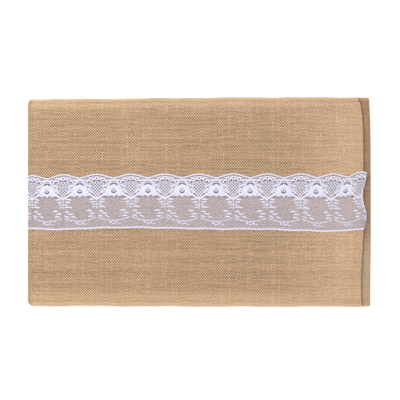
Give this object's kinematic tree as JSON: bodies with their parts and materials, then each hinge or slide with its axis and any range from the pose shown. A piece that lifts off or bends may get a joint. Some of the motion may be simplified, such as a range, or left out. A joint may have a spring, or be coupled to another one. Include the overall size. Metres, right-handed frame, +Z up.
{
  "type": "table runner",
  "caption": "Burlap table runner with a white scalloped lace band down its middle, hemmed all round and folded once across its length; the upper half opens like a page.",
  "frame": {"origin": "centre of the underside of the folded runner", "axes": "+X from the fold towards the two free ends, +Y across the runner towards the lace's scalloped edge, +Z up"},
  "size_m": [0.496, 0.3, 0.0079],
  "materials": {
    "burlap": "natural jute burlap in plain weave, matt, with slubs and lighter and darker yarns",
    "turned_burlap": "the same burlap, turned under twice and pressed",
    "lace": "bluish white knitted lace on a fine net ground",
    "lace_thread": "pale spun sewing thread",
    "hem_thread": "tan spun sewing thread"
  },
  "bodies": {
    "lower_half": {"burlap_fold": "burlap", "burlap_lower_panel": "burlap", "cord_seam_bobbin_thread_fold": "lace_thread", "cord_seam_bobbin_thread_lower": "lace_thread", "cord_seam_needle_thread_fold": "lace_thread", "cord_seam_needle_thread_lower": "lace_thread", "end_hem_bobbin_thread_lower": "hem_thread", "end_hem_lower": "turned_burlap", "end_hem_needle_thread_lower": "hem_thread", "far_hem_bobbin_thread_fold": "hem_thread", "far_hem_bobbin_thread_lower": "hem_thread", "far_hem_needle_thread_fold": "hem_thread", "far_hem_needle_thread_lower": "hem_thread", "far_side_hem_fold": "turned_burlap", "far_side_hem_lower": "turned_burlap", "lace_fold": "lace", "lace_lower": "lace", "near_hem_bobbin_thread_fold": "hem_thread", "near_hem_bobbin_thread_lower": "hem_thread", "near_hem_needle_thread_fold": "hem_thread", "near_hem_needle_thread_lower": "hem_thread", "near_side_hem_fold": "turned_burlap", "near_side_hem_lower": "turned_burlap", "scallop_seam_bobbin_thread_fold": "lace_thread", "scallop_seam_bobbin_thread_lower": "lace_thread", "scallop_seam_needle_thread_fold": "lace_thread", "scallop_seam_needle_thread_lower": "lace_thread"},
    "upper_half": {"burlap_upper_panel": "burlap", "cord_seam_bobbin_thread_upper": "lace_thread", "cord_seam_needle_thread_upper": "lace_thread", "end_hem_bobbin_thread_upper": "hem_thread", "end_hem_needle_thread_upper": "hem_thread", "end_hem_upper": "turned_burlap", "far_hem_bobbin_thread_upper": "hem_thread", "far_hem_needle_thread_upper": "hem_thread", "far_side_hem_upper": "turned_burlap", "lace_upper": "lace", "near_hem_bobbin_thread_upper": "hem_thread", "near_hem_needle_thread_upper": "hem_thread", "near_side_hem_upper": "turned_burlap", "scallop_seam_bobbin_thread_upper": "lace_thread", "scallop_seam_needle_thread_upper": "lace_thread"}
  },
  "joints": [
    {"name": "fold_opening", "type": "hinge", "parent": "lower_half", "child": "upper_half", "pos_m": [-0.24405, 0, 0.00395], "axis": [0, -1, 0], "range_deg": [0, 179.99], "deforming": ["burlap_fold", "cord_seam_bobbin_thread_fold", "cord_seam_needle_thread_fold", "far_hem_bobbin_thread_fold", "far_hem_needle_thread_fold", "far_side_hem_fold", "lace_fold", "near_hem_bobbin_thread_fold", "near_hem_needle_thread_fold", "near_side_hem_fold", "scallop_seam_bobbin_thread_fold", "scallop_seam_needle_thread_fold"]}
  ]
}
